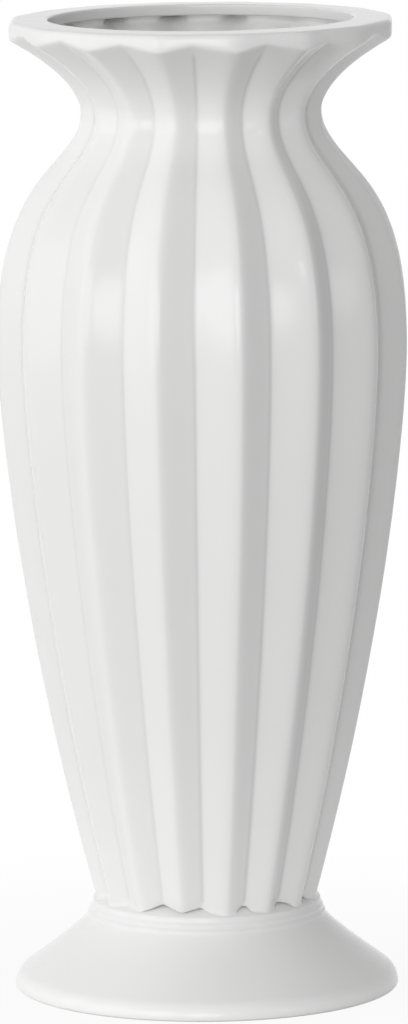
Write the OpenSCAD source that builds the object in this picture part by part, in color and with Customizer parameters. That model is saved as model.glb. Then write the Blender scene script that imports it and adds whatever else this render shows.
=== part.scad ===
// Tall fluted vase on a flared pedestal foot, white glazed ceramic.
// Six cast pieces, luted together: foot, collar, floor, fluted body, fluted mouth and rim.
// The flutes are a star of flat facets with soft ridges and crisp grooves.
// Lengths are in millimetres, +Z is up, and the origin is the centre of the standing ring.

/* [Foot] */
// Radius of the foot at its widest
foot_r = 79; // [75:0.5:86]
// Height of the foot, from the floor to the seat of the collar
foot_h = 29.2; // [27:0.2:34]
// Radius of the rolled outer edge
foot_edge_r = 8.5; // [6:0.5:9]
// Rounding between the rolled edge and the floor
foot_heel_r = 0.8; // [0.6:0.2:2]
// Steepness of the flare where it meets the rolled edge, as a share of its mean slope
edge_slope_share = 1.04; // [0.95:0.01:1.15]
// Steepness of the flare where it leaves the collar, as a share of its mean slope
throat_slope_share = 2.3; // [1.8:0.1:2.6]
// Width of the flat ring that the vase stands on
stand_w = 5; // [4:0.5:7]
// Radius of the vent through the top of the foot
vent_r = 28; // [20:1:32]

/* [Collar] */
// Height of the collar at its outer edge
collar_h = 8.7; // [7.8:0.1:12]
// How far the collar's top edge stands out past the ridges of the waist
collar_ledge = 0.9; // [0.6:0.1:2]
// How far the collar spreads from its top edge down to the foot
collar_flare = 2.4; // [2:0.1:4]
// Height of the fillet between the foot and the lower bead
collar_fillet_h = 2; // [1.5:0.1:2.5]
// Height of each of the two beads
bead_h = 2.1; // [1.6:0.1:2.4]
// Slope of the collar's top, under the ends of the flutes, in degrees
collar_pitch = 31; // [20:1:36]
// How far each of the two beads swells
bead_swell = 0.4; // [0.2:0.05:0.6]

/* [Body] */
// Height of the fluted body, from the collar's top edge to the neck seam
body_h = 322.3; // [280:0.1:360]
// Ridge radius at the waist, just above the collar
waist_r = 46.1; // [40:0.1:54]
// Ridge radius at the belly
belly_r = 85; // [78:0.5:92]
// Height of the belly above the collar's top edge
belly_up = 230; // [200:0.5:240]
// Lean of the ridges at the waist, in degrees from upright
waist_lean = 15.3; // [12:0.1:17]
// Thickness of the disc that closes the body
floor_t = 5; // [4:0.5:6]

/* [Neck and mouth] */
// Ridge radius at the neck seam, the narrowest place
neck_r = 49.2; // [46:0.1:54]
// Lean of the ridges just below the neck seam, in degrees from upright
neck_lean = 13.8; // [10:0.1:18]
// Height of the mouth piece, from the neck seam to the rim
mouth_h = 35.2; // [33:0.1:38]
// Height of the lip's upright face under the rim, on a ridge
lip_face_h = 3.1; // [2.6:0.1:5]
// Lean of the ridges just above the neck seam, in degrees from upright
flare_lean = 4; // [0:0.5:8]

/* [Rim] */
// Radius of the lip on a ridge
lip_r = 79.5; // [77:0.5:83]
// Thickness of the rim ring
rim_t = 4.6; // [3.4:0.1:5]
// Width of the rim, from its round hole to the lip on a ridge
rim_w = 17.2; // [14:0.1:21]
// Rounding of the rim's outer top edge
rim_round = 2.2; // [1.5:0.1:2.8]
// Rounding of the rim's inner edges
rim_inner_round = 0.8; // [0.4:0.1:1]
// Fall of the rim's top from its inner to its outer edge
rim_fall = 0.2; // [0.1:0.1:0.8]
// Least width of the seat that the rim rests on
rim_seat_w = 5; // [4.2:0.1:6]

/* [Flutes] */
// Number of flutes
flutes = 16; // [14:1:18]
// Groove radius as a share of the ridge radius
groove_share = 0.907; // [0.89:0.001:0.93]
// The same share at the lip, where the flutes nearly die out
lip_groove_share = 0.972; // [0.96:0.001:0.98]
// Share of each facet taken up by the rounding of its ridge
ridge_share = 0.16; // [0.08:0.01:0.3]

/* [Wall and seams] */
// Thickness of the cast wall, square to its surface
wall = 5; // [4:0.25:5.5]
// Gap left for slip in the keyed seams
seam_gap = 0.3; // [0.2:0.05:0.4]
// Least width of the landing under the grooves, outside the body's spigot
landing_w = 2; // [1.5:0.1:2.5]
// Height of the tenon in the neck seam
tenon_h = 5; // [3:0.5:6]
// Width of the round keys at the foot and the rim
key_w = 2.4; // [2:0.1:2.8]
// Height of the round keys
key_h = 1.2; // [0.8:0.1:1.4]

/* [Hidden] */
$fn = 96;
glaze_white = [0.93, 0.93, 0.92];

// Steps along each curve
edge_steps = 8;
flare_steps = 10;
bead_steps = 6;
body_steps = 11;
bore_steps = 7;
ridge_steps = 4;

// Radii that follow from the waist and the lip
collar_r = waist_r + collar_ledge;
foot_top_r = collar_r + collar_flare;
rim_bore_r = lip_r - rim_w;
rim_seat_r = lip_groove_share * lip_r - rim_seat_w;

// Levels of the seams
collar_z = foot_h + collar_h;
floor_z = foot_h + floor_t;
belly_z = collar_z + belly_up;
neck_z = collar_z + body_h;
mouth_z = neck_z + mouth_h;
rim_z = mouth_z + rim_t;
flare_h = mouth_h - lip_face_h;

// Handles of the body's outline, as shares of its stretch below or above the belly
waist_handle_share = 0.48;
belly_low_share = 0.12;
belly_high_share = 0.75;
neck_handle_share = 0.28;

// The round spigot under the body and the socket in the collar that takes it
spigot_r = groove_share * waist_r - landing_w;
spigot_bore_r = spigot_r - wall;
socket_r = spigot_r + seam_gap;
landing_rise = tan(collar_pitch);
landing_z = collar_z + (collar_r - waist_r) * landing_rise + seam_gap;
landing_top_z = landing_z + (waist_r - spigot_r) * landing_rise;

// Radii of the round keys
foot_key_r = (socket_r + foot_top_r) / 2;
rim_key_r = rim_seat_r + rim_seat_w / 2;

// Slopes of the foot's flare at its two ends
flare_mean_slope = (foot_h - foot_edge_r) / (foot_r - foot_top_r);
foot_edge_pitch = atan(flare_mean_slope * edge_slope_share);
foot_throat_pitch = atan(flare_mean_slope * throat_slope_share);

// A point on a curve with one handle, and on a curve with two handles
function arc_point(a, handle, b, t) =
    (1 - t) * (1 - t) * a + 2 * t * (1 - t) * handle + t * t * b;
function curve_point(a, ha, hb, b, t) =
    (1 - t) * arc_point(a, ha, hb, t) + t * arc_point(ha, hb, b, t);
function curve_heading(a, ha, hb, b, t) =
    3 * (arc_point(ha, hb, b, t) - arc_point(a, ha, hb, t));

// The crossing of the line from a along u with the line from b along v
function meet(a, u, b, v) = a + u * cross(b - a, v) / cross(u, v);
function on_circle(centre, r, turn) = centre + r * [cos(turn), sin(turn)];

// The star of the flutes, for a ridge radius of one: the facets meet at a tip, which the ridge rounds
half_pitch = 180 / flutes;
function tip_r(share) = (1 - ridge_share / 2 * share * cos(half_pitch)) / (1 - ridge_share / 2);
function ridge_tip(share) = [tip_r(share), 0];
function groove_point(share, side) = share * [cos(half_pitch), side * sin(half_pitch)];
function ridge_edge(share, side) =
    (1 - ridge_share) * ridge_tip(share) + ridge_share * groove_point(share, side);
facet_way = ridge_tip(groove_share) - groove_point(groove_share, -1);
facet_run = norm(facet_way) / facet_way[1];
function flute(share) = [
    for (i = [0 : ridge_steps])
        arc_point(ridge_edge(share, -1), ridge_tip(share), ridge_edge(share, 1), i / ridge_steps),
    groove_point(share, 1)
];
function turned(p, turn) =
    [p[0] * cos(turn) - p[1] * sin(turn), p[0] * sin(turn) + p[1] * cos(turn)];
function star(share) =
    [for (i = [0 : flutes - 1], p = flute(share)) turned(p, i * 2 * half_pitch)];
flute_star = star(groove_share);
lip_star = star(lip_groove_share);
columns = len(flute_star);

// Rings of points that the fluted pieces are built from
function star_ring(shape, r, z) = [for (p = shape) [r * p[0], r * p[1], z]];
function round_ring(r, z) = [for (p = flute_star) [r * p[0] / norm(p), r * p[1] / norm(p), z]];
function landing_ring() =
    [for (p = flute_star) [waist_r * p[0], waist_r * p[1], landing_z + waist_r * (1 - norm(p)) * landing_rise]];

// Outline of the body on a ridge, below and above the belly, with the wall's inner face beside it
waist_point = [waist_r, landing_z];
belly_point = [belly_r, belly_z];
neck_point = [neck_r, neck_z];
low_h = belly_z - landing_z;
high_h = neck_z - belly_z;
waist_handle = waist_point + low_h * waist_handle_share * [tan(waist_lean), 1];
belly_low_handle = belly_point - [0, low_h * belly_low_share];
belly_high_handle = belly_point + [0, high_h * belly_high_share];
neck_handle = neck_point + high_h * neck_handle_share * [tan(neck_lean), -1];
function low_point(t) = curve_point(waist_point, waist_handle, belly_low_handle, belly_point, t);
function low_heading(t) = curve_heading(waist_point, waist_handle, belly_low_handle, belly_point, t);
function high_point(t) = curve_point(belly_point, belly_high_handle, neck_handle, neck_point, t);
function high_heading(t) = curve_heading(belly_point, belly_high_handle, neck_handle, neck_point, t);
function wall_run(heading) = wall * facet_run * norm(heading) / abs(heading[1]);
function inner(point, heading) = [point[0] - wall_run(heading), point[1]];

// Outline of the mouth: a parabola that leaves the neck seam with a small lean and opens out to the lip
flare_start = tan(flare_lean);
flare_bend = (lip_r - neck_r - flare_start * flare_h) / pow(flare_h, 2);
function flare_r(up) = neck_r + flare_start * up + flare_bend * up * up;
function flare_slope(up) = flare_start + 2 * flare_bend * up;
function flare_bore_r(up) = flare_r(up) - wall_run([flare_slope(up), 1]);
neck_bore_r = neck_r - wall * facet_run;
tenon_r = (neck_r + neck_bore_r) / 2;

// Where the flare meets the upright lip, column by column, as a height above the neck seam
function lip_meet(i) =
    let (
        climb = lip_r * norm(lip_star[i]) / norm(flute_star[i]) - neck_r,
        up = (sqrt(pow(flare_start, 2) + 4 * flare_bend * climb) - flare_start) / (2 * flare_bend)
    )
    min(up, mouth_h);
function flare_ring(step) = [
    for (i = [0 : columns - 1])
        let (up = lip_meet(i) * step / flare_steps, r = flare_r(up))
        [r * flute_star[i][0], r * flute_star[i][1], neck_z + up]
];

// A solid swept round through a closed loop of rings
module ring_solid(rings) {
    rows = len(rings);
    polyhedron(
        points = [for (ring = rings, p = ring) p],
        faces = [
            for (j = [0 : rows - 1], i = [0 : columns - 1])
                let (
                    a = j * columns + i,
                    b = j * columns + (i + 1) % columns,
                    c = ((j + 1) % rows) * columns + i,
                    d = ((j + 1) % rows) * columns + (i + 1) % columns
                )
                each [[a, c, b], [b, c, d]]
        ],
        convexity = 8
    );
}

// Flared foot: rolled edge, concave flare, flat seat with a round key, hollow underneath
module pedestal_foot() {
    edge_centre = [foot_r - foot_edge_r, foot_heel_r];
    heel_centre = [foot_r - foot_heel_r, foot_heel_r];
    flare_end = on_circle(edge_centre, foot_edge_r, 90 - foot_edge_pitch);
    flare_top = [foot_top_r, foot_h];
    end_way = [-cos(foot_edge_pitch), sin(foot_edge_pitch)];
    top_way = [cos(foot_throat_pitch), -sin(foot_throat_pitch)];
    flare_handle = meet(flare_top, top_way, flare_end, end_way);
    hollow_end = on_circle(edge_centre, foot_edge_r - wall, 90 - foot_edge_pitch);
    seat_under = [0, foot_h - wall];
    hollow_top = meet(flare_top - wall * [sin(foot_throat_pitch), cos(foot_throat_pitch)],
        top_way, seat_under, [1, 0]);
    hollow_handle = meet(hollow_top, top_way, hollow_end, end_way);
    stand_inner_r = foot_r - foot_heel_r - stand_w;
    color(glaze_white)
    rotate_extrude()
    polygon(concat(
        [[stand_inner_r, 0], [foot_r - foot_heel_r, 0]],
        [for (i = [1 : edge_steps]) on_circle(heel_centre, foot_heel_r, 90 * i / edge_steps - 90)],
        [for (i = [1 : edge_steps])
            on_circle(edge_centre, foot_edge_r, (90 - foot_edge_pitch) * i / edge_steps)],
        [for (i = [1 : flare_steps]) arc_point(flare_end, flare_handle, flare_top, i / flare_steps)],
        [[foot_key_r + key_w / 2, foot_h],
            [foot_key_r + key_w / 2, foot_h + key_h],
            [foot_key_r - key_w / 2, foot_h + key_h],
            [foot_key_r - key_w / 2, foot_h],
            [vent_r, foot_h],
            [vent_r, foot_h - wall]],
        [for (i = [0 : flare_steps]) arc_point(hollow_top, hollow_handle, hollow_end, i / flare_steps)]
    ));
}

// Collar between foot and body: a fillet, two beads and a sloping top round the socket
module foot_collar() {
    fillet_top = [(foot_top_r + collar_r) / 2, foot_h + collar_fillet_h];
    fillet_handle = [fillet_top[0], (foot_h + fillet_top[1]) / 2];
    valley = [(fillet_top[0] + collar_r) / 2, fillet_top[1] + bead_h];
    beads_top = [(valley[0] + collar_r) / 2, valley[1] + bead_h];
    swell = [2 * bead_swell, 0];
    socket_top_z = collar_z + (collar_r - socket_r) * landing_rise;
    color(glaze_white)
    rotate_extrude()
    polygon(concat(
        [[socket_r, foot_h],
            [foot_key_r - key_w / 2 - seam_gap, foot_h],
            [foot_key_r - key_w / 2 - seam_gap, foot_h + key_h + seam_gap],
            [foot_key_r + key_w / 2 + seam_gap, foot_h + key_h + seam_gap],
            [foot_key_r + key_w / 2 + seam_gap, foot_h]],
        [for (i = [0 : bead_steps])
            arc_point([foot_top_r, foot_h], fillet_handle, fillet_top, i / bead_steps)],
        [for (i = [1 : bead_steps])
            arc_point(fillet_top, (fillet_top + valley) / 2 + swell, valley, i / bead_steps)],
        [for (i = [1 : bead_steps])
            arc_point(valley, (valley + beads_top) / 2 + swell, beads_top, i / bead_steps)],
        [[collar_r, collar_z - bead_swell],
            [collar_r - bead_swell, collar_z + bead_swell * landing_rise],
            [socket_r, socket_top_z]]
    ));
}

// Round floor of the vessel, held between the foot and the body's spigot, slightly dished
module floor_disc() {
    dish_r = spigot_bore_r - seam_gap;
    dish_depth = floor_t / 5;
    color(glaze_white)
    rotate_extrude()
    polygon(concat(
        [[0, foot_h], [spigot_r, foot_h], [spigot_r, floor_z], [dish_r, floor_z]],
        [for (i = [1 : bead_steps])
            arc_point([dish_r, floor_z], [dish_r / 2, floor_z - dish_depth], [0, floor_z - dish_depth],
                i / bead_steps)]
    ));
}

// Fluted body: spigot at the bottom, star wall, keyed tenon at the neck
module fluted_body() {
    lowest_share = 0.05;
    color(glaze_white)
    ring_solid(concat(
        [landing_ring()],
        [for (i = [1 : body_steps])
            let (p = low_point(i / body_steps)) star_ring(flute_star, p[0], p[1])],
        [for (i = [1 : body_steps])
            let (p = high_point(i / body_steps)) star_ring(flute_star, p[0], p[1])],
        [star_ring(flute_star, tenon_r, neck_z),
            star_ring(flute_star, tenon_r, neck_z + tenon_h),
            star_ring(flute_star, neck_bore_r, neck_z + tenon_h)],
        [for (i = [bore_steps : -1 : 1])
            let (p = inner(high_point(i / bore_steps), high_heading(i / bore_steps)))
            star_ring(flute_star, p[0], p[1])],
        [for (i = [bore_steps : -1 : 0])
            let (
                t = lowest_share + (1 - lowest_share) * i / bore_steps,
                p = inner(low_point(t), low_heading(t))
            )
            star_ring(flute_star, p[0], p[1])],
        [round_ring(spigot_bore_r, landing_top_z),
            round_ring(spigot_bore_r, floor_z),
            round_ring(spigot_r, floor_z),
            round_ring(spigot_r, landing_top_z)]
    ));
}

// Fluted mouth: star wall that flares to the lip, with the lip cut upright on every ridge
module fluted_mouth() {
    color(glaze_white)
    ring_solid(concat(
        [for (step = [0 : flare_steps]) flare_ring(step)],
        [star_ring(lip_star, lip_r, mouth_z),
            round_ring(rim_key_r + key_w / 2, mouth_z),
            round_ring(rim_key_r + key_w / 2, mouth_z + key_h),
            round_ring(rim_key_r - key_w / 2, mouth_z + key_h),
            round_ring(rim_key_r - key_w / 2, mouth_z),
            round_ring(rim_seat_r, mouth_z)],
        [for (i = [bore_steps - 1 : -1 : 0])
            let (up = tenon_h + seam_gap + (mouth_h - tenon_h - seam_gap) * i / bore_steps)
            star_ring(flute_star, flare_bore_r(up), neck_z + up)],
        [star_ring(flute_star, tenon_r + seam_gap, neck_z + tenon_h + seam_gap),
            star_ring(flute_star, tenon_r + seam_gap, neck_z)]
    ));
}

// Rim ring: round hole, softly scalloped outer edge, groove for the round key underneath
module rim_ring() {
    outer_steps = 4;
    color(glaze_white)
    ring_solid(concat(
        [star_ring(lip_star, lip_r, mouth_z)],
        [for (i = [0 : outer_steps])
            let (p = on_circle([lip_r - rim_round, rim_z - rim_fall - rim_round], rim_round,
                90 * i / outer_steps))
            star_ring(lip_star, p[0], p[1])],
        [for (i = [outer_steps : -1 : 0])
            let (p = on_circle([rim_bore_r + rim_inner_round, rim_z - rim_inner_round],
                rim_inner_round, 180 - 90 * i / outer_steps))
            round_ring(p[0], p[1])],
        [round_ring(rim_bore_r, mouth_z + rim_inner_round),
            round_ring(rim_bore_r + rim_inner_round, mouth_z),
            round_ring(rim_key_r - key_w / 2 - seam_gap, mouth_z),
            round_ring(rim_key_r - key_w / 2 - seam_gap, mouth_z + key_h + seam_gap),
            round_ring(rim_key_r + key_w / 2 + seam_gap, mouth_z + key_h + seam_gap),
            round_ring(rim_key_r + key_w / 2 + seam_gap, mouth_z)]
    ));
}

pedestal_foot();
foot_collar();
floor_disc();
fluted_body();
fluted_mouth();
rim_ring();
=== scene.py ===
"""Looks of the white glazed fluted vase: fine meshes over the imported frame, glaze, studio and camera."""

import math

import bmesh
import bpy
import numpy as np
from mathutils import Matrix, Vector, noise


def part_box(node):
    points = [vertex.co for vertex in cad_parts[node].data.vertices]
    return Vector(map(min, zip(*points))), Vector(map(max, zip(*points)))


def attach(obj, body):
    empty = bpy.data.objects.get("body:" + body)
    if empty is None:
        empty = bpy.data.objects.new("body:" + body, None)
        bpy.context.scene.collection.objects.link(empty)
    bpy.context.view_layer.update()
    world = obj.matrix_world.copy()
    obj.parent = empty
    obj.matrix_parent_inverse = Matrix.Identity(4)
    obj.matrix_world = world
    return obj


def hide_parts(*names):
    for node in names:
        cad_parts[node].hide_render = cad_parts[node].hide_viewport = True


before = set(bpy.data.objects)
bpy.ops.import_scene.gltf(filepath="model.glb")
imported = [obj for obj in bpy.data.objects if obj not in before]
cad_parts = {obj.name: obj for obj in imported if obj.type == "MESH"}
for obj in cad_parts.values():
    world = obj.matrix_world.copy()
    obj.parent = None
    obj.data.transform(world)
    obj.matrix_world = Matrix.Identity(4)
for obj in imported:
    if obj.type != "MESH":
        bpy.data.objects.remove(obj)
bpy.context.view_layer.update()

MM = 0.001
X, Y, Z = 0, 1, 2


def lowest(node, axis):
    """A node's lowest place along an axis, in millimetres."""
    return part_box(node)[0][axis] / MM


def highest(node, axis):
    """A node's highest place along an axis, in millimetres."""
    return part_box(node)[1][axis] / MM


# Sizes read from the frame, in millimetres
SEAT_Z = lowest("floor_disc", Z)
FLOOR_Z = highest("floor_disc", Z)
NECK_Z = lowest("fluted_mouth", Z)
TENON_Z = highest("fluted_body", Z)
MOUTH_Z = lowest("rim_ring", Z)
RIM_Z = highest("rim_ring", Z)
KEY_H = highest("pedestal_foot", Z) - SEAT_Z
FOOT_R = max(highest("pedestal_foot", X), highest("pedestal_foot", Y))
FOOT_TOP_R = max(highest("foot_collar", X), highest("foot_collar", Y))
SPIGOT_R = highest("floor_disc", X)
BELLY_R = highest("fluted_body", X)
LIP_R = highest("rim_ring", X)

# Sizes repeated from the part's source, in millimetres and degrees
FLUTES = 16
GROOVE_SHARE = 0.907
LIP_GROOVE_SHARE = 0.972
WALL = 5
SEAM_GAP = 0.3
KEY_W = 2.4
FOOT_EDGE_R = 8.5
FOOT_HEEL_R = 0.8
EDGE_SLOPE_SHARE = 1.04
THROAT_SLOPE_SHARE = 2.3
STAND_W = 5
VENT_R = 28
COLLAR_PITCH = 31
WAIST_LEAN = 15.3
NECK_R = 49.2
NECK_LEAN = 13.8
FLARE_LEAN = 4
LIP_FACE_H = 3.1
RIM_W = 17.2
RIM_ROUND = 2.2
RIM_FALL = 0.2
RIM_INNER_ROUND = 0.8
RIM_SEAT_W = 5

# Handles of the body's outline, as shares of its stretch below or above the belly
WAIST_HANDLE_SHARE = 0.48
BELLY_LOW_SHARE = 0.12
BELLY_HIGH_SHARE = 0.75
NECK_HANDLE_SHARE = 0.28

# Seam under the flutes, 1.5 mm lower than on the solids, as the photo shows it: the collar's height and
# ledge, the waist's radius, and the belly's height above the collar, all in millimetres
COLLAR_H = 7
COLLAR_LEDGE = 1.2
WAIST_R = 45.8
BELLY_UP = 231.7

# Collar's side: height of its throat above the foot, rounding of its top edge, and the beads' heights
# above the foot, half height and swell
COLLAR_THROAT_H = 3.4
COLLAR_EDGE_ROUND = 0.42
BEAD_LEVELS = [1.7, 4]
BEAD_HALF_H = 0.75
BEAD_SWELL = 0.42

# Small forms of the glazed vase: the gap left at a glazed seam, the vent's and the standing ring's
# rounding, and the floor's dish as a share of its thickness
GLAZED_GAP = 0.05
VENT_ROUND = 1
STAND_ROUND = 1
STAND_ROUND_H = 1.6
DISH_SHARE = 0.2

# Softness of the glazed edges, in millimetres
RIDGE_SOFT = 2.4
GROOVE_SOFT = 0.4
LIP_RIDGE_SOFT = 5
LIP_GROOVE_SOFT = 4
LIP_EDGE_SOFT = 0.8
BORE_SOFT = 3
MOUTH_BORE_RIDGE_SOFT = 1.2
MOUTH_BORE_GROOVE_SOFT = 2

# How far the fillet at the neck, the lip's rounding and the seam's shape reach along the wall, and the
# height over the spigot's top where the flutes inside the body end
NECK_REACH = 5
LIP_REACH = 3
FOLLOW_H = 18
BORE_END_H = 6

# Unevenness of hand work: its amount, its waves per millimetre and its place in the noise
HAND_WOBBLE = 0.14
WOBBLE_WAVE = 0.02
WOBBLE_PLACE = (3, 6, 9)

# The mouth as fired: how far it lies inside the solids' outline, how far it sinks on its low side, and
# the frame's side, in degrees from X, where it stays high
MOUTH_INSET = 0.7
RIM_TILT = 0.9
RIM_HIGH_SIDE = 35

# Shifts of ridges and grooves off their even places, in degrees, one for each from the first side on,
# which is given in degrees from the camera's
FIRST_SHIFT_SIDE = -46.25
FLUTE_SHIFTS = [0, 0.2, -0.4, -0.2, -1.2, 0.5, -1.2, 0.5, -2.4, 0]

# Shade painted into grooves and creases: its reach in millimetres, the side from the camera's where it is
# darkest and how far round that reaches, in degrees, and its share elsewhere
PAINTED_SHADE_W = 0.8
PAINTED_SHADE_SIDE = 40
PAINTED_SHADE_REACH = 60
PAINTED_SHADE_FAR_SHARE = 0.35

# Where the seam under the flutes stays open: middle from the camera's side, reach in degrees, and share;
# then the open seam's height in the grooves, its depth, and its height at the ridges as a share
CREVICES = [(-17.5, 15.5, 1), (20, 3.5, 0.6), (45, 5, 0.6), (64, 3, 0.6), (150, 14, 0.8), (-125, 6, 0.7)]
CREVICE_H = 1.15
CREVICE_DEPTH = 3.2
CREVICE_RIDGE_SHARE = 0.6

# Glaze that fills the seam elsewhere: its width at the ridges, and what it gains in the grooves
COVE_W = 0.6
COVE_GROOVE_W = 0.9

# Pockets that the flutes leave under the rim, inside the mouth: half width in radians, height, the rim's
# overhang between them, and the side from the camera's where they are deepest and its reach, in degrees
POCKET_HALF = 0.075
POCKET_H = 7
POCKET_LIP = 0.8
POCKET_SIDE = -160
POCKET_REACH = 42

# Fineness of the meshes: rows and steps along the outlines, and columns round the axis
OUTLINE_STEPS = 240
HALF_FLUTE_STEPS = 13
ROUND_COLUMNS = 288
FLOOR_COLUMNS = 96
HEEL_STEPS = 5
ROLL_STEPS = 16
FOOT_FLARE_STEPS = 40
UNDERSIDE_STEPS = 30
CORNER_STEPS = 4
COLLAR_STEPS = 40
COLLAR_EDGE_STEPS = 5
DISH_STEPS = 16
COVE_STEPS = 5
BODY_ROWS = 150
NECK_ROWS = 9
BORE_ROWS = 60
BORE_BEND_STEPS = 8
FLARE_ROWS = 44
LIP_ROWS = 18
POCKET_ROWS = 12
RIM_FACE_ROWS = 6
RIM_ROUND_STEPS = 10
RIM_FLAT_STEPS = 8
RIM_INNER_STEPS = 6

# Rows at the wall's foot that give way to the seam, height over which a slope is taken, angle from which
# an edge is shaded sharp, and reach within which points join, in millimetres
HIDDEN_ROWS = 2
SLOPE_STEP = 0.5
SHARP_DEG = 50
MERGE_REACH = 0.0005

# Camera: side of the vase in degrees, distance, height and aim in metres, roll in degrees, lens in
# millimetres, and how far it sees
CAMERA_AZIMUTH = -9.96
CAMERA_AWAY = 3.1293
CAMERA_HEIGHT = 0.6602
CAMERA_AIM = 0.19645
CAMERA_ROLL = 0.387
CAMERA_LENS = 271.3
CAMERA_SIGHT = 50

# Softboxes: the height that they aim at, and for each its name, azimuth from the camera's, elevation,
# distance, width, height and radiance
LAMP_AIM = 0.2
SOFTBOXES = [
    ("left_softbox", -90, 8, 1.6, 0.4, 1.1, 0.65),
    ("left_front_softbox", -57, 9, 1.6, 1.1, 1.1, 0.8),
    ("front_left_softbox", -28, 10, 1.6, 0.65, 0.7, 1.9),
    ("front_softbox", -2, 8, 1.6, 0.7, 0.55, 2.6),
    ("right_softbox", 50, 10, 1.6, 0.4, 0.4, 1.2),
    ("upper_softbox", 10, 42, 1.6, 1.0, 1.0, 0.2),
]

# Spot lamp that lights the inside of the mouth: azimuth from the camera's, distance from the axis and
# height over the rim in metres, power, cone in degrees, and radius in metres
MOUTH_SPOT_SIDE = 20
MOUTH_SPOT_AWAY = 1.3
MOUTH_SPOT_UP = 0.45
MOUTH_SPOT_POWER = 28
MOUTH_SPOT_CONE = 9
MOUTH_SPOT_RADIUS = 0.4

# Light of the surroundings: strength on its bright side, which is given from the camera's, and on the
# side across, and what is left of it from a given rise on
SKY_SIDE = -75
SKY_BRIGHT = 2.0
SKY_DIM = 0.21
SKY_FADE = 0.6
SKY_HIGH_SHARE = 0.4

# Floor: radius and drop under the vase in metres, its grey, how white it looks next to the vase, the
# shadow's inner and outer reach, and the glow of a ring of floor that lights the foot, where it rises
# and where it falls
FLOOR_RADIUS = 4
FLOOR_DROP = 0.0001
FLOOR_GREY = (0.55, 0.55, 0.55, 1)
FLOOR_WHITE_SHARE = 0.93
SHADOW_REACH = (0.08, 0.3)
FLOOR_GLOW = 0.85
GLOW_RISE = (0.079, 0.085)
GLOW_FALL = (0.09, 0.24)

# Glaze: its colour in two tones, the grey of the shade painted into grooves and creases, bare clay, how far
# the painted shade goes, its roughness from and to, and the heights in metres between which clay turns to
# glaze at the standing ring
GLAZE_COLOUR = (0.79, 0.79, 0.785, 1)
GLAZE_PALE = (0.82, 0.82, 0.815, 1)
# Grey of the shade painted into the grooves and creases
PAINTED_SHADE_GREY = (0.55, 0.555, 0.555, 1)
BARE_CLAY = (0.70, 0.65, 0.58, 1)
WHITE = (1, 1, 1, 1)
PAINTED_SHADE_MIX = 0.62
GLAZE_IOR = 1.5
GLAZE_ROUGHNESS = (0.12, 0.17)
BARE_ROUGHNESS = 0.85
BARE_HEIGHTS = (0.0001, 0.0004)

# Noise in the glaze: scales of its tone, its gloss, its fine skin and its slow waves, the range that
# the gloss follows, and the strength and depth in metres of the skin and the waves
NOISE_DETAIL = 2
TONE_SCALE = 22
GLOSS_SCALE = 90
GLOSS_RANGE = (0.3, 0.7)
SKIN_SCALE = 260
SKIN_STRENGTH = 0.03
SKIN_DEPTH = 0.0004
WAVE_SCALE = 55
WAVE_STRENGTH = 0.06
WAVE_DEPTH = 0.0006

# Levels, radii and slopes that follow
COLLAR_R = WAIST_R + COLLAR_LEDGE
COLLAR_Z = SEAT_Z + COLLAR_H
LANDING_RISE = math.tan(math.radians(COLLAR_PITCH))
LANDING_Z = COLLAR_Z + COLLAR_LEDGE * LANDING_RISE + SEAM_GAP
LANDING_TOP_Z = LANDING_Z + (WAIST_R - SPIGOT_R) * LANDING_RISE
BELLY_Z = COLLAR_Z + BELLY_UP
MOUTH_H = MOUTH_Z - NECK_Z
FLARE_H = MOUTH_H - LIP_FACE_H
FLARE_SLOPE = math.tan(math.radians(FLARE_LEAN))
FLARE_BEND = (LIP_R - NECK_R - FLARE_SLOPE * FLARE_H) / FLARE_H**2
RIM_BORE_R = LIP_R - RIM_W
RIM_SEAT_R = LIP_GROOVE_SHARE * LIP_R - RIM_SEAT_W
RIM_KEY_R = RIM_SEAT_R + RIM_SEAT_W / 2
FOOT_KEY_R = (SPIGOT_R + FOOT_TOP_R) / 2

# Half a flute in radians, a facet's run outward and across for a ridge radius of one, and how much
# thicker the wall is along the radius than square to a facet
HALF_FLUTE = math.pi / FLUTES
FACET_OUT = 1 - GROOVE_SHARE * math.cos(HALF_FLUTE)
FACET_ACROSS = GROOVE_SHARE * math.sin(HALF_FLUTE)
FACET_RUN = np.hypot(FACET_OUT, FACET_ACROSS) / FACET_ACROSS


# Curves in the plane of a section, as rows of (radius, height)
def quad_curve(start, handle, end, steps):
    """A curve with one handle."""
    t = np.linspace(0, 1, steps + 1)[:, None]
    start, handle, end = (np.asarray(p, float) for p in (start, handle, end))
    return (1 - t) ** 2 * start + 2 * t * (1 - t) * handle + t**2 * end


def cubic_curve(start, handle_a, handle_b, end, steps):
    """A curve with two handles."""
    t = np.linspace(0, 1, steps + 1)[:, None]
    first = quad_curve(start, handle_a, handle_b, steps)
    second = quad_curve(handle_a, handle_b, end, steps)
    return (1 - t) * first + t * second


def arc(centre, radius, start_deg, end_deg, steps):
    """A stretch of a circle between two directions."""
    turn = np.radians(np.linspace(start_deg, end_deg, steps + 1))
    return np.stack([centre[0] + radius * np.cos(turn), centre[1] + radius * np.sin(turn)], axis=1)


def meet(a, a_way, b, b_way):
    """The crossing of the line from a along a_way with the line from b along b_way."""
    a, b = np.asarray(a, float), np.asarray(b, float)
    s = np.linalg.solve(np.array([a_way, [-b_way[0], -b_way[1]]], float).T, b - a)
    return a + s[0] * np.asarray(a_way, float)


def rounded(before, corner, after, reach):
    """A corner of an outline, cut back by reach both ways and rounded."""
    before, corner, after = (np.asarray(p, float) for p in (before, corner, after))
    start = corner + (before - corner) / np.hypot(*(before - corner)) * reach
    end = corner + (after - corner) / np.hypot(*(after - corner)) * reach
    return quad_curve(start, corner, end, CORNER_STEPS)


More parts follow.
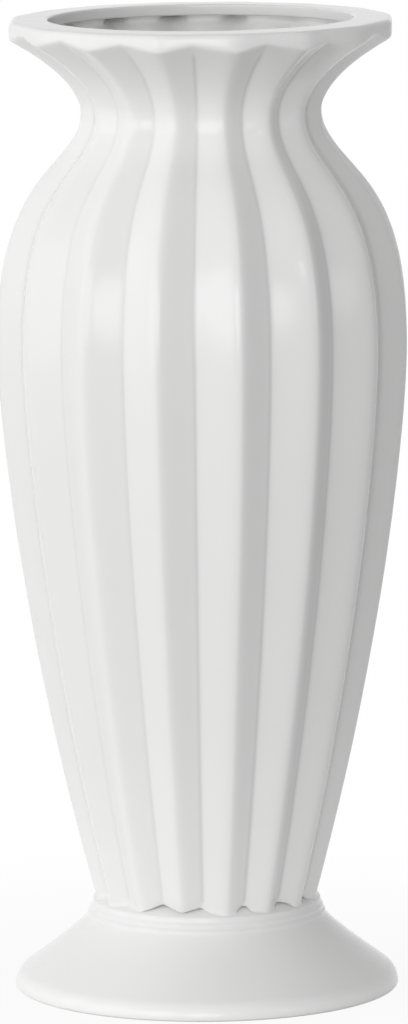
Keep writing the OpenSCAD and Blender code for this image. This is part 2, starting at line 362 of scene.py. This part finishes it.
def key_outline(radius, z, gap=0):
    """The key on a level seat, or the groove for it with a gap, from its outer side to its inner one."""
    half_w = KEY_W / 2 + gap
    top = z + KEY_H + gap
    return [(radius + half_w, z), (radius + half_w, top), (radius - half_w, top), (radius - half_w, z)]


def soft_min(a, b, softness):
    """The smaller of two values, rounded where they cross."""
    return np.minimum(a, b) - softness * np.log1p(np.exp(-np.abs(a - b) / softness))


# Outline of the wall
def body_outline():
    """Outline of the body's ridges: two curves, from the waist to the belly and on to the neck."""
    waist = np.array([WAIST_R, LANDING_Z])
    belly = np.array([BELLY_R, BELLY_Z])
    neck = np.array([NECK_R, NECK_Z])
    low_h = BELLY_Z - LANDING_Z
    high_h = NECK_Z - BELLY_Z
    waist_way = np.array([math.tan(math.radians(WAIST_LEAN)), 1])
    neck_way = np.array([math.tan(math.radians(NECK_LEAN)), -1])
    waist_handle = waist + low_h * WAIST_HANDLE_SHARE * waist_way
    belly_low_handle = belly - np.array([0, low_h * BELLY_LOW_SHARE])
    belly_high_handle = belly + np.array([0, high_h * BELLY_HIGH_SHARE])
    neck_handle = neck + high_h * NECK_HANDLE_SHARE * neck_way
    lower = cubic_curve(waist, waist_handle, belly_low_handle, belly, OUTLINE_STEPS)
    upper = cubic_curve(belly, belly_high_handle, neck_handle, neck, OUTLINE_STEPS)
    return np.concatenate([lower, upper[1:]])


BODY = body_outline()


def flare_radius(z):
    """Radius of the mouth's ridges at height z."""
    up = z - NECK_Z
    return NECK_R + FLARE_SLOPE * up + FLARE_BEND * up * up


def ridge_radius(z):
    """Radius of the ridges at height z, with the neck seam smoothed by a fillet."""
    z = np.asarray(z, float)
    body = np.interp(z, BODY[:, 1], BODY[:, 0])
    radius = np.where(z > NECK_Z, flare_radius(z), body)
    below = np.interp(NECK_Z - NECK_REACH, BODY[:, 1], BODY[:, 0])
    above = flare_radius(NECK_Z + NECK_REACH)
    t = np.clip((z - NECK_Z + NECK_REACH) / (2 * NECK_REACH), 0, 1)
    fillet = (1 - t) ** 2 * below + 2 * t * (1 - t) * NECK_R + t**2 * above
    return np.where(np.abs(z - NECK_Z) < NECK_REACH, fillet, radius)


def bore_radius(z):
    """Radius of the inner ridges at height z, one wall inside the outer ones."""
    slope = (ridge_radius(z + SLOPE_STEP) - ridge_radius(z - SLOPE_STEP)) / (2 * SLOPE_STEP)
    return ridge_radius(z) - WALL * FACET_RUN * np.sqrt(1 + slope**2)


def cone_height(radius):
    """Height of the glazed seam on the collar's sloping top."""
    return LANDING_Z - SEAM_GAP + GLAZED_GAP + (WAIST_R - radius) * LANDING_RISE


# Sections round the axis
def flute_columns():
    """Angles of one flute's columns from its ridge, closer together at the ridge and at the groove."""
    share = np.linspace(0, 1, HALF_FLUTE_STEPS + 1)
    spread = HALF_FLUTE * share**2 * (3 - 2 * share)
    return np.concatenate([-spread[:0:-1], spread[:-1]])


def turn_from(angles, side):
    """Angles measured from a side that is given in degrees from the camera's, within half a turn."""
    turn = angles - math.radians(side + CAMERA_AZIMUTH - 90)
    return (turn + math.pi) % (2 * math.pi) - math.pi


def near_side(angles, side, reach):
    """One near a side of the vase, given in degrees from the camera's, and zero beyond its reach."""
    away = np.degrees(np.abs(turn_from(angles, side))) / reach
    return np.exp(-(away**4))


def uneven(angles):
    """Angles with ridges and grooves a little off their even places, as hand work leaves them."""
    sides = FIRST_SHIFT_SIDE + 180 / FLUTES * np.arange(len(FLUTE_SHIFTS))
    return angles + np.interp(turn_from(angles, 0), np.radians(sides), np.radians(FLUTE_SHIFTS))


# Angle of each column round the axis, and how far it lies from its flute's ridge
FLUTE_COLUMNS = flute_columns()
ANGLES = uneven(np.concatenate([2 * HALF_FLUTE * i + FLUTE_COLUMNS for i in range(FLUTES)]))
FOLD = np.abs(np.tile(FLUTE_COLUMNS, FLUTES))


def star(radius, groove_share, ridge_soft, groove_soft):
    """Radii of the fluted section, column by column: flat facets, a rounded ridge and a rounded groove."""
    radius = np.atleast_1d(np.asarray(radius, float))
    if radius.ndim == 1:
        radius = radius[:, None]
    across = groove_share * math.sin(HALF_FLUTE)
    out = 1 - groove_share * math.cos(HALF_FLUTE)
    facet_turn = math.atan2(out, across)
    ridge, groove = ridge_soft / radius, groove_soft / radius

    def reach(fold):
        soft = np.sqrt(fold**2 + ridge**2)
        return 1 / np.cos(HALF_FLUTE - np.sqrt((HALF_FLUTE - soft) ** 2 + groove**2) - facet_turn)

    return radius * reach(FOLD) / reach(0.0)


def outer_star(radius):
    """Radii of the flutes outside."""
    return star(radius, GROOVE_SHARE, RIDGE_SOFT, GROOVE_SOFT)


def lip_star():
    """Radii of the lip's scalloped edge."""
    return star(LIP_R - MOUTH_INSET, LIP_GROOVE_SHARE, LIP_RIDGE_SOFT, LIP_GROOVE_SOFT)[0]


def mouth_star(levels):
    """Radii at the mouth: the flutes flare out until they meet the lip's own scalloped edge."""
    inset = MOUTH_INSET * np.clip((levels - NECK_Z) / MOUTH_H, 0, 1)
    return soft_min(outer_star(ridge_radius(levels) - inset), lip_star(), LIP_EDGE_SOFT)


def tenon_star(gap):
    """Radii of the half lap at the neck, midway through the wall, with a gap on the mouth's side."""
    return outer_star(NECK_R - WALL * FACET_RUN / 2 + gap)[0]


def groove_painted_shade(radius):
    """How much shade is painted into the grooves, for rows of a given ridge radius."""
    away = (HALF_FLUTE - FOLD) * np.atleast_1d(radius)[:, None]
    # Painted shade, darkest on the side of the vase that is in shade
    side = PAINTED_SHADE_FAR_SHARE + (1 - PAINTED_SHADE_FAR_SHARE) * near_side(ANGLES, PAINTED_SHADE_SIDE, PAINTED_SHADE_REACH)
    return np.exp(-((away / PAINTED_SHADE_W) ** 2)) * side


def seam_fill():
    """How far glaze fills the seam under the flutes, from 0, an open crevice, to 1, column by column."""
    fill = np.ones(len(ANGLES))
    for middle, reach, share in CREVICES:
        fill = np.minimum(fill, 1 - share * near_side(ANGLES, middle, reach))
    return fill


# Points and meshes: rows go round the wall's section, columns round the axis
def points_of(radii, heights, angles):
    """Points from radii, heights and angles, each a number or an array."""
    radii, heights, angles = np.broadcast_arrays(radii, heights, angles)
    return np.stack([radii * np.cos(angles), radii * np.sin(angles), heights], axis=-1)


def fluted_grid(rows):
    """Points of a fluted piece from its rows of (radii, heights), each one number or one per column."""
    return np.stack([points_of(radii, heights, ANGLES) for radii, heights in rows])


def hand_worked(grid):
    """Moves points inward by up to the unevenness of hand work, in place."""
    place = Vector(WOBBLE_PLACE)
    waves = [noise.noise(Vector(point) * WOBBLE_WAVE + place) for point in grid.reshape(-1, 3)]
    inward = HAND_WOBBLE * (0.5 + 0.5 * np.array(waves).reshape(grid.shape[:-1]))
    share = 1 - inward / np.hypot(grid[..., X], grid[..., Y])
    grid[..., X] *= share
    grid[..., Y] *= share


def tilted(grid):
    """Sinks the mouth's points a little on one side, as firing leaves them, in place."""
    turn = math.radians(RIM_HIGH_SIDE)
    across = (grid[..., X] * math.cos(turn) + grid[..., Y] * math.sin(turn)) / LIP_R
    share = np.clip((grid[..., Z] - TENON_Z) / (MOUTH_Z - TENON_Z), 0, 1)
    grid[..., Z] -= RIM_TILT * share * (1 - across) / 2


def join_poles(mesh):
    """Joins the points that meet on the axis, and drops the faces without area there."""
    work = bmesh.new()
    work.from_mesh(mesh)
    bmesh.ops.remove_doubles(work, verts=work.verts, dist=MERGE_REACH * MM)
    work.to_mesh(mesh)
    work.free()


def new_piece(name, grid, painted_shade, node):
    """A closed mesh from a grid of points in millimetres, with the shade painted at each point."""
    rows, columns = grid.shape[:2]
    index = np.arange(rows * columns).reshape(rows, columns)
    after = np.roll(index, -1, axis=0)
    quads = np.stack([index, np.roll(index, -1, axis=1), np.roll(after, -1, axis=1), after], axis=-1)
    mesh = bpy.data.meshes.new(name)
    mesh.from_pydata((grid * MM).reshape(-1, 3).tolist(), [], quads.reshape(-1, 4).tolist())
    # Attribute that carries the painted shade of grooves and creases to the glaze
    level = mesh.attributes.new("painted_shade", "FLOAT", "POINT")
    level.data.foreach_set("value", np.broadcast_to(painted_shade, grid.shape[:2]).astype(np.float32).ravel())
    join_poles(mesh)
    mesh.polygons.foreach_set("use_smooth", [True] * len(mesh.polygons))
    mesh.set_sharp_from_angle(angle=math.radians(SHARP_DEG))
    piece = bpy.data.objects.new(name, mesh)
    bpy.context.scene.collection.objects.link(piece)
    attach(piece, "root")
    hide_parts(node)
    return piece


def turned_piece(name, outline, creases, node):
    """A round piece from its outline; shade is painted at its creases."""
    angles = np.linspace(0, 2 * math.pi, ROUND_COLUMNS, endpoint=False)
    outline = np.asarray(outline, float)
    painted_shade = np.zeros(len(outline))
    for crease in creases:
        painted_shade = np.maximum(painted_shade, np.exp(-((np.hypot(*(outline - crease).T) / PAINTED_SHADE_W) ** 2)))
    grid = points_of(outline[:, :1], outline[:, 1:], angles)
    return new_piece(name, grid, painted_shade[:, None] * PAINTED_SHADE_FAR_SHARE, node)


# The six pieces
def pedestal_foot():
    """The flared foot: rolled edge, flare, key, round vent, hollow underside and standing ring."""
    slope = (SEAT_Z - FOOT_EDGE_R) / (FOOT_R - FOOT_TOP_R)
    edge_pitch = math.atan(slope * EDGE_SLOPE_SHARE)
    throat_pitch = math.atan(slope * THROAT_SLOPE_SHARE)
    edge_centre = (FOOT_R - FOOT_EDGE_R, FOOT_HEEL_R)
    edge_turn = 90 - math.degrees(edge_pitch)
    edge_way = (-math.cos(edge_pitch), math.sin(edge_pitch))
    throat_way = (math.cos(throat_pitch), -math.sin(throat_pitch))
    flare_top = np.array([FOOT_TOP_R, SEAT_Z])
    heel = arc((FOOT_R - FOOT_HEEL_R, FOOT_HEEL_R), FOOT_HEEL_R, -90, 0, HEEL_STEPS)
    roll = arc(edge_centre, FOOT_EDGE_R, 0, edge_turn, ROLL_STEPS)
    flare_handle = meet(flare_top, throat_way, roll[-1], edge_way)
    flare = quad_curve(roll[-1], flare_handle, flare_top, FOOT_FLARE_STEPS)
    vent_top, vent_bottom = (VENT_R, SEAT_Z), (VENT_R, SEAT_Z - WALL)
    vent_upper = rounded((FOOT_R, SEAT_Z), vent_top, vent_bottom, VENT_ROUND)
    vent_lower = rounded(vent_top, vent_bottom, (FOOT_R, SEAT_Z - WALL), VENT_ROUND)
    inward = np.array([math.sin(throat_pitch), math.cos(throat_pitch)])
    under_top = meet(flare_top - WALL * inward, throat_way, (0, SEAT_Z - WALL), (1, 0))
    under_end = arc(edge_centre, FOOT_EDGE_R - WALL, edge_turn, edge_turn, 1)[0]
    under_handle = meet(under_top, throat_way, under_end, edge_way)
    underside = quad_curve(under_top, under_handle, under_end, UNDERSIDE_STEPS)
    stand_r = FOOT_R - FOOT_HEEL_R - STAND_W
    stand_side = (stand_r - STAND_ROUND, STAND_ROUND_H)
    inner_heel = quad_curve(stand_side, (stand_r, 0), (stand_r + STAND_ROUND, 0), HEEL_STEPS)
    key = key_outline(FOOT_KEY_R, SEAT_Z)
    outline = [heel, roll[1:], flare[1:], key, vent_upper, vent_lower, underside, inner_heel]
    return turned_piece("pedestal_foot_glazed", np.concatenate(outline), [under_top], "pedestal_foot")


def foot_collar():
    """The collar: groove for the foot's key, side with two beads, sloping top and socket."""
    throat = (COLLAR_R + COLLAR_EDGE_ROUND, SEAT_Z + COLLAR_THROAT_H)
    edge_low = (COLLAR_R, COLLAR_Z - COLLAR_EDGE_ROUND)
    side = quad_curve((FOOT_TOP_R, SEAT_Z), throat, edge_low, COLLAR_STEPS)
    for bead_z in BEAD_LEVELS:
        side[:, 0] += BEAD_SWELL * np.exp(-(((side[:, 1] - SEAT_Z - bead_z) / BEAD_HALF_H) ** 2))
    edge_high = (COLLAR_R - COLLAR_EDGE_ROUND, COLLAR_Z + COLLAR_EDGE_ROUND * LANDING_RISE)
    edge = quad_curve(side[-1], (COLLAR_R, COLLAR_Z), edge_high, COLLAR_EDGE_STEPS)
    socket_r = SPIGOT_R + SEAM_GAP
    socket_foot = (socket_r, SEAT_Z)
    socket_top = (socket_r, COLLAR_Z + (COLLAR_R - socket_r) * LANDING_RISE)
    groove = key_outline(FOOT_KEY_R, SEAT_Z, SEAM_GAP)[::-1]
    outline = [[socket_foot], groove, side, edge[1:], [socket_top]]
    return turned_piece("foot_collar_glazed", np.concatenate(outline), [], "foot_collar")


def floor_disc():
    """The floor: a disc with a fine dish in its top."""
    dish_r = SPIGOT_R - WALL - SEAM_GAP
    dish_z = FLOOR_Z - (FLOOR_Z - SEAT_Z) * DISH_SHARE
    under_and_edge = [(0, SEAT_Z), (VENT_R, SEAT_Z), (SPIGOT_R, SEAT_Z), (SPIGOT_R, FLOOR_Z)]
    dish = quad_curve((dish_r, FLOOR_Z), (dish_r / 2, dish_z), (0, dish_z), DISH_STEPS)
    outline = np.concatenate([under_and_edge, dish])
    return turned_piece("floor_disc_glazed", outline, [(dish_r, FLOOR_Z)], "floor_disc")


def seam_rows(foot_line, base, depth, fill, lift):
    """Rows across the seam: a cove of glaze where it is filled, and a crevice where it stays open."""
    filled = fill * (COVE_W + COVE_GROOVE_W * depth)
    start_r = foot_line + filled - (1 - fill) * CREVICE_DEPTH
    start = np.stack([start_r, cone_height(start_r) + lift])
    top = base + np.maximum(CREVICE_H * fill + filled, lift)
    end = np.stack([outer_star(ridge_radius(top)[None, :])[0], top])
    handle = np.stack([foot_line, base])
    rows = quad_curve(start.ravel(), handle.ravel(), end.ravel(), COVE_STEPS)
    return [tuple(row.reshape(2, -1)) for row in rows]


def fluted_body():
    """The vessel's wall: seam, flutes, half lap at the neck, flutes inside, and round spigot."""
    fill = seam_fill()
    foot_line = outer_star(WAIST_R)[0]
    depth = (WAIST_R - foot_line) / (WAIST_R - foot_line).max()
    lift = (1 - fill) * CREVICE_H * (CREVICE_RIDGE_SHARE + (1 - CREVICE_RIDGE_SHARE) * depth)
    base = cone_height(foot_line) + lift
    rows = seam_rows(foot_line, base, depth, fill, lift)
    outer_start = len(rows)
    below_neck = NECK_Z - NECK_REACH
    neck_levels = np.linspace(below_neck, NECK_Z, NECK_ROWS)[1:]
    levels = np.concatenate([np.linspace(LANDING_Z, below_neck, BODY_ROWS), neck_levels])[:, None]
    squeeze = np.clip(1 - (levels - LANDING_Z) / FOLLOW_H, 0, 1)
    heights = levels + (base - LANDING_Z) * squeeze
    radii = outer_star(ridge_radius(heights))
    rows += list(zip(radii[HIDDEN_ROWS:], heights[HIDDEN_ROWS:]))
    outer_end = len(rows)
    tenon = tenon_star(0)
    rows += [(tenon, NECK_Z), (tenon, TENON_Z)]
    inner_levels = np.linspace(TENON_Z, LANDING_TOP_Z + BORE_END_H, BORE_ROWS)
    inner = star(bore_radius(inner_levels), GROOVE_SHARE, BORE_SOFT, BORE_SOFT)
    rows += list(zip(inner, inner_levels))
    bore_r = SPIGOT_R - WALL
    bend = quad_curve((0, LANDING_TOP_Z + BORE_END_H), (1, LANDING_TOP_Z), (1, FLOOR_Z), BORE_BEND_STEPS)
    rows += [(inner[-1] + (bore_r - inner[-1]) * share, z) for share, z in bend[1:]]
    rows += [(SPIGOT_R, FLOOR_Z), (SPIGOT_R, LANDING_TOP_Z)]
    grid = fluted_grid(rows)
    painted_shades = np.zeros(grid.shape[:2])
    painted_shades[outer_start:outer_end] = groove_painted_shade(ridge_radius(levels[HIDDEN_ROWS:, 0]))
    hand_worked(grid[outer_start - 1 : outer_end])
    return new_piece("fluted_body_glazed", grid, painted_shades, "fluted_body")


def mouth_bore():
    """Rows inside the mouth, from the rim's seat down: pockets under the rim, then flutes."""
    pocket_end = MOUTH_Z - POCKET_H
    pocket_levels = np.linspace(MOUTH_Z - GLAZED_GAP, pocket_end, POCKET_ROWS)
    lower_levels = np.linspace(pocket_end, TENON_Z + GLAZED_GAP, FLARE_ROWS)[1:]
    levels = np.concatenate([pocket_levels, lower_levels])
    inner = star(bore_radius(levels), GROOVE_SHARE, MOUTH_BORE_RIDGE_SOFT, MOUTH_BORE_GROOVE_SOFT)
    inner = np.minimum(inner, RIM_SEAT_R)
    pocket = np.exp(-((FOLD / POCKET_HALF) ** 4)) * near_side(ANGLES, POCKET_SIDE, POCKET_REACH)
    shelf = RIM_BORE_R + POCKET_LIP + (RIM_SEAT_R - RIM_BORE_R - POCKET_LIP) * pocket
    rise = np.clip(1 - (MOUTH_Z - levels) / POCKET_H, 0, 1)[:, None] ** 2
    inner = inner + (np.minimum(inner, shelf) - inner) * rise
    return list(zip(inner, levels))


def fluted_mouth():
    """The flared mouth: flutes up to the lip, key for the rim, bore, and half lap at the neck."""
    flare_end = NECK_Z + FLARE_H - LIP_REACH
    lip_levels = np.linspace(flare_end, MOUTH_Z, LIP_ROWS)[1:]
    levels = np.concatenate([np.linspace(NECK_Z, flare_end, FLARE_ROWS), lip_levels])
    rows = list(zip(mouth_star(levels), levels))
    outer_end = len(rows)
    rows += key_outline(RIM_KEY_R, MOUTH_Z)
    rows.append((RIM_SEAT_R, MOUTH_Z))
    rows += mouth_bore()
    tenon = tenon_star(GLAZED_GAP)
    rows += [(tenon, TENON_Z + GLAZED_GAP), (tenon, NECK_Z)]
    grid = fluted_grid(rows)
    painted_shades = np.zeros(grid.shape[:2])
    fade = np.clip((NECK_Z + FLARE_H - levels) / LIP_REACH, 0, 1)[:, None]
    painted_shades[:outer_end] = groove_painted_shade(ridge_radius(levels)) * fade
    hand_worked(grid[:outer_end])
    tilted(grid)
    return new_piece("fluted_mouth_glazed", grid, painted_shades, "fluted_mouth")


def rim_ring():
    """The rim: scalloped face, rounded edge, top that rises a little inward, round hole, and key groove."""
    lip = lip_star()
    edge_top = RIM_Z - RIM_FALL
    face_levels = np.linspace(MOUTH_Z, edge_top - RIM_ROUND, RIM_FACE_ROWS)
    rows = list(zip(mouth_star(face_levels), face_levels))
    round_centre = (LIP_R - RIM_ROUND, edge_top - RIM_ROUND)
    for radius, z in arc(round_centre, RIM_ROUND, 0, 90, RIM_ROUND_STEPS)[1:]:
        rows.append((lip - (LIP_R - radius), z))
    outer_end = len(rows)
    flat_in = RIM_BORE_R + RIM_INNER_ROUND
    for share in np.linspace(0, 1, RIM_FLAT_STEPS + 1)[1:-1]:
        radii = (1 - share) * (lip - RIM_ROUND) + share * flat_in
        rows.append((radii, edge_top + RIM_FALL * share))
    rows += list(arc((flat_in, RIM_Z - RIM_INNER_ROUND), RIM_INNER_ROUND, 90, 180, RIM_INNER_STEPS))
    rows += list(arc((flat_in, MOUTH_Z + RIM_INNER_ROUND), RIM_INNER_ROUND, 180, 270, RIM_INNER_STEPS))
    rows += key_outline(RIM_KEY_R, MOUTH_Z, SEAM_GAP)[::-1]
    grid = fluted_grid(rows)
    hand_worked(grid[:outer_end])
    tilted(grid)
    return new_piece("rim_ring_glazed", grid, np.zeros(grid.shape[:2]), "rim_ring")


# Materials
def add(tree, kind, **settings):
    """A new node, with its inputs or its own settings given by name."""
    node = tree.nodes.new(kind)
    for key, value in settings.items():
        socket = key.replace("_", " ")
        if socket in node.inputs:
            node.inputs[socket].default_value = value
        else:
            setattr(node, key, value)
    return node


def joined(tree, kind, first, second, **settings):
    """The output of a new node that has two outputs linked to its first inputs."""
    node = add(tree, kind, **settings)
    tree.links.new(first, node.inputs[0])
    tree.links.new(second, node.inputs[1])
    return node.outputs[0]


def mixed_colour(tree, share, first, second):
    """A mix of two colours, each a fixed one or an output."""
    node = add(tree, "ShaderNodeMix", data_type="RGBA")
    for socket, value in ((node.inputs[0], share), (node.inputs[6], first), (node.inputs[7], second)):
        if hasattr(value, "is_output"):
            tree.links.new(value, socket)
        else:
            socket.default_value = value
    return node.outputs[2]


def mixed_value(tree, share, first, second):
    """A mix of an output with a fixed number, by a share that is an output too."""
    node = add(tree, "ShaderNodeMix", data_type="FLOAT")
    tree.links.new(share, node.inputs[0])
    tree.links.new(first, node.inputs[2])
    node.inputs[3].default_value = second
    return node.outputs[0]


def mixed_shader(tree, share, first, second):
    """A mix of two shaders."""
    node = add(tree, "ShaderNodeMixShader")
    for socket, value in zip(node.inputs, (share, first, second)):
        tree.links.new(value, socket)
    return node.outputs[0]


def ranged(tree, value, low, high, to_low, to_high):
    """A value carried from one range to another, and held at its ends."""
    node = add(tree, "ShaderNodeMapRange")
    for socket, number in zip(("From Min", "From Max", "To Min", "To Max"), (low, high, to_low, to_high)):
        node.inputs[socket].default_value = number
    tree.links.new(value, node.inputs["Value"])
    return node.outputs["Result"]


def noise_value(tree, place, scale):
    """Soft noise from 0 to 1."""
    node = add(tree, "ShaderNodeTexNoise", Scale=scale, Detail=NOISE_DETAIL)
    tree.links.new(place, node.inputs["Vector"])
    return node.outputs["Fac"]


def glaze_material():
    """White glaze over pale clay: painted shade in grooves and creases, slightly uneven gloss, bare on the
    standing ring.
    """
    material = bpy.data.materials.new("white_glaze")
    material.use_nodes = True
    tree = material.node_tree
    shader = tree.nodes["Principled BSDF"]
    place = add(tree, "ShaderNodeTexCoord").outputs["Object"]
    painted_shade = add(tree, "ShaderNodeAttribute", attribute_name="painted_shade").outputs["Fac"]
    glaze = mixed_colour(tree, noise_value(tree, place, TONE_SCALE), GLAZE_COLOUR, GLAZE_PALE)
    # Painted shade: the glaze turns grey towards the grooves and creases
    with_painted_shade = mixed_colour(tree, ranged(tree, painted_shade, 0, 1, 0, PAINTED_SHADE_MIX), glaze, PAINTED_SHADE_GREY)
    split = add(tree, "ShaderNodeSeparateXYZ")
    tree.links.new(place, split.inputs[0])
    bare = ranged(tree, split.outputs["Z"], *BARE_HEIGHTS, 1, 0)
    tree.links.new(mixed_colour(tree, bare, with_painted_shade, BARE_CLAY), shader.inputs["Base Color"])
    gloss = ranged(tree, noise_value(tree, place, GLOSS_SCALE), *GLOSS_RANGE, *GLAZE_ROUGHNESS)
    tree.links.new(mixed_value(tree, bare, gloss, BARE_ROUGHNESS), shader.inputs["Roughness"])
    shader.inputs["IOR"].default_value = GLAZE_IOR
    skin = add(tree, "ShaderNodeBump", Strength=SKIN_STRENGTH, Distance=SKIN_DEPTH)
    tree.links.new(noise_value(tree, place, SKIN_SCALE), skin.inputs["Height"])
    wave = add(tree, "ShaderNodeBump", Strength=WAVE_STRENGTH, Distance=WAVE_DEPTH)
    tree.links.new(noise_value(tree, place, WAVE_SCALE), wave.inputs["Height"])
    tree.links.new(skin.outputs["Normal"], wave.inputs["Normal"])
    tree.links.new(wave.outputs["Normal"], shader.inputs["Normal"])
    return material


def seen_directly(tree):
    """One for camera, glossy and transmission rays, and zero for the rays that light the object."""
    path = add(tree, "ShaderNodeLightPath")
    total = path.outputs["Is Camera Ray"]
    for name in ("Is Glossy Ray", "Is Transmission Ray"):
        total = joined(tree, "ShaderNodeMath", total, path.outputs[name], operation="MAXIMUM")
    return total


def floor_material():
    """Pale floor that keeps the shadow near the vase and fades to the white of the background."""
    material = bpy.data.materials.new("studio_floor")
    material.use_nodes = True
    tree = material.node_tree
    tree.nodes.clear()
    length = add(tree, "ShaderNodeVectorMath", operation="LENGTH")
    tree.links.new(add(tree, "ShaderNodeTexCoord").outputs["Object"], length.inputs[0])
    away = length.outputs["Value"]
    fade = ranged(tree, away, *SHADOW_REACH, FLOOR_WHITE_SHARE, 1)
    seen = joined(tree, "ShaderNodeMath", fade, seen_directly(tree), operation="MULTIPLY")
    rise = ranged(tree, away, *GLOW_RISE, 0, FLOOR_GLOW)
    fall = ranged(tree, away, *GLOW_FALL, FLOOR_GLOW, 0)
    glow = joined(tree, "ShaderNodeMath", rise, fall, operation="MINIMUM")
    share = joined(tree, "ShaderNodeMath", seen, glow, operation="MAXIMUM")
    matt = add(tree, "ShaderNodeBsdfDiffuse", Color=FLOOR_GREY)
    white = add(tree, "ShaderNodeEmission", Color=WHITE, Strength=1)
    clear = add(tree, "ShaderNodeBsdfTransparent")
    top = mixed_shader(tree, share, matt.outputs[0], white.outputs[0])
    below = add(tree, "ShaderNodeNewGeometry").outputs["Backfacing"]
    surface = mixed_shader(tree, below, top, clear.outputs[0])
    tree.links.new(surface, add(tree, "ShaderNodeOutputMaterial").inputs["Surface"])
    return material


# Studio
def around(azimuth, away, height):
    """A point round the vase; azimuth 0 lies towards the frame's front, -Y, and it grows to the right."""
    turn = math.radians(azimuth)
    return Vector((math.sin(turn) * away, -math.cos(turn) * away, height))


def facing(place, aim):
    """The matrix of a camera or lamp that stands at a place and looks at its aim."""
    return Matrix.Translation(place) @ (aim - place).to_track_quat("-Z", "Y").to_matrix().to_4x4()


def new_object(name, data):
    """An object in the scene from its data."""
    thing = bpy.data.objects.new(name, data)
    bpy.context.scene.collection.objects.link(thing)
    return thing


def make_camera():
    """The camera of the photo's view."""
    camera = new_object("camera", bpy.data.cameras.new("camera"))
    camera.data.lens = CAMERA_LENS
    camera.data.clip_end = CAMERA_SIGHT
    place = around(CAMERA_AZIMUTH, CAMERA_AWAY, CAMERA_HEIGHT)
    roll = Matrix.Rotation(-math.radians(CAMERA_ROLL), 4, "Z")
    camera.matrix_world = facing(place, Vector((0, 0, CAMERA_AIM))) @ roll
    bpy.context.scene.camera = camera


def softbox(name, azimuth, elevation, away, width, height, radiance):
    """A soft oval lamp that faces the vase; azimuth is from the camera's own, to the right."""
    lamp = bpy.data.lights.new(name, "AREA")
    lamp.shape = "ELLIPSE"
    lamp.size, lamp.size_y = width, height
    lamp.energy = radiance * math.pi * (math.pi / 4 * width * height)
    tilt = math.radians(elevation)
    place = around(CAMERA_AZIMUTH + azimuth, away * math.cos(tilt), LAMP_AIM + away * math.sin(tilt))
    box = new_object(name, lamp)
    box.matrix_world = facing(place, Vector((0, 0, LAMP_AIM)))
    box.visible_camera = False


def mouth_spot():
    """A soft spot lamp that reaches into the mouth from above the camera's side."""
    lamp = bpy.data.lights.new("mouth_spot", "SPOT")
    lamp.energy = MOUTH_SPOT_POWER
    lamp.spot_size = math.radians(MOUTH_SPOT_CONE)
    lamp.spot_blend = 1
    lamp.shadow_soft_size = MOUTH_SPOT_RADIUS
    place = around(CAMERA_AZIMUTH + MOUTH_SPOT_SIDE, MOUTH_SPOT_AWAY, RIM_Z * MM + MOUTH_SPOT_UP)
    aim = around(CAMERA_AZIMUTH, -RIM_BORE_R * MM, MOUTH_Z * MM)
    new_object("mouth_spot", lamp).matrix_world = facing(place, aim)


def make_world():
    """White to the camera and in reflections; as a light, brighter on one side and lower down."""
    world = bpy.data.worlds.new("studio")
    bpy.context.scene.world = world
    world.use_nodes = True
    tree = world.node_tree
    ray = add(tree, "ShaderNodeTexCoord").outputs["Generated"]
    split = add(tree, "ShaderNodeSeparateXYZ")
    tree.links.new(ray, split.inputs[0])
    side = add(tree, "ShaderNodeVectorMath", operation="DOT_PRODUCT")
    tree.links.new(ray, side.inputs[0])
    side.inputs[1].default_value = around(CAMERA_AZIMUTH + SKY_SIDE, 1, 0)
    round_about = ranged(tree, side.outputs["Value"], -1, 1, SKY_DIM, SKY_BRIGHT)
    upward = ranged(tree, split.outputs["Z"], 0, SKY_FADE, 1, SKY_HIGH_SHARE)
    sky = joined(tree, "ShaderNodeMath", round_about, upward, operation="MULTIPLY")
    background = tree.nodes["Background"]
    background.inputs["Color"].default_value = WHITE
    tree.links.new(mixed_value(tree, seen_directly(tree), sky, 1), background.inputs["Strength"])


def make_floor():
    """A round floor just under the vase."""
    turn = np.linspace(0, 2 * math.pi, FLOOR_COLUMNS, endpoint=False)
    ring = [(FLOOR_RADIUS * math.cos(a), FLOOR_RADIUS * math.sin(a), -FLOOR_DROP) for a in turn]
    mesh = bpy.data.meshes.new("floor")
    mesh.from_pydata(ring, [], [list(range(len(ring)))])
    floor = new_object("floor", mesh)
    floor.data.materials.append(floor_material())


make_camera()
make_world()
make_floor()
mouth_spot()
for lamp in SOFTBOXES:
    softbox(*lamp)

GLAZE = glaze_material()
for build in (pedestal_foot, foot_collar, floor_disc, fluted_body, fluted_mouth, rim_ring):
    build().data.materials.append(GLAZE)

bpy.context.scene.view_settings.view_transform = "Standard"
